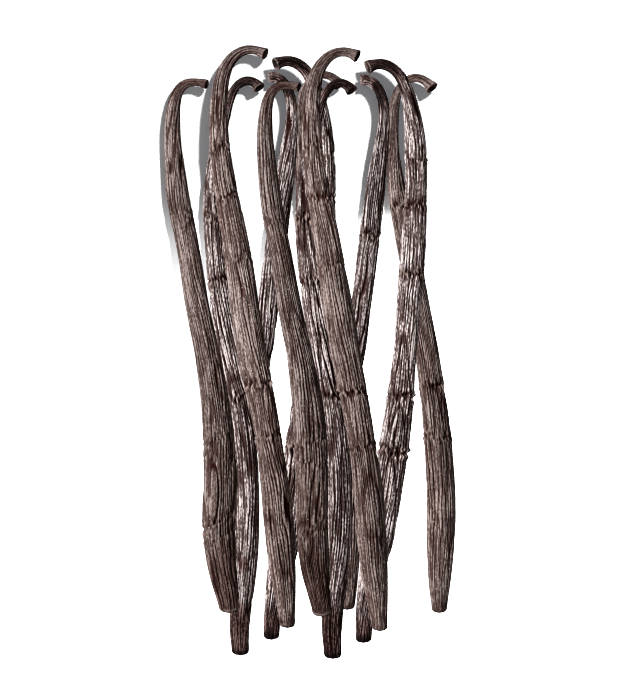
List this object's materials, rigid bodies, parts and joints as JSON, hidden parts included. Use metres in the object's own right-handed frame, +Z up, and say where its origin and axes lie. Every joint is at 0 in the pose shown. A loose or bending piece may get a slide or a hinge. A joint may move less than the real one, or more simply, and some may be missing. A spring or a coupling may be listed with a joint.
{
  "type": "bundle of vanilla pods",
  "caption": "Loose bundle of long, wrinkled, dark brown cured vanilla pods with hooked stalk ends, lying across each other; for flavouring food",
  "frame": {"origin": "centre of the bundle's footprint, on the surface it lies on", "axes": "+Y runs along the pods from their tips to their hooked stalk ends, +Z is up, +X is across the pods to the right as seen from above with the hooks at the top"},
  "size_m": [0.0832, 0.1754, 0.0179],
  "materials": {
    "dry_pod_skin": "dry, dull grey-brown skin with fine lengthwise wrinkles and a faint bloom on the ridges",
    "oily_pod_skin": "oily, near-black brown skin with lengthwise wrinkles and glossy ridges"
  },
  "bodies": {
    "root": {"left_arched_pod": "oily_pod_skin", "left_long_pod": "oily_pod_skin", "left_outer_pod": "dry_pod_skin", "left_slim_pod": "oily_pod_skin", "left_tall_pod": "dry_pod_skin", "left_under_pod": "dry_pod_skin", "right_arched_pod": "oily_pod_skin", "right_long_pod": "oily_pod_skin", "right_outer_pod": "dry_pod_skin", "right_slim_pod": "oily_pod_skin", "right_tall_pod": "dry_pod_skin", "right_under_pod": "dry_pod_skin"}
  },
  "joints": []
}
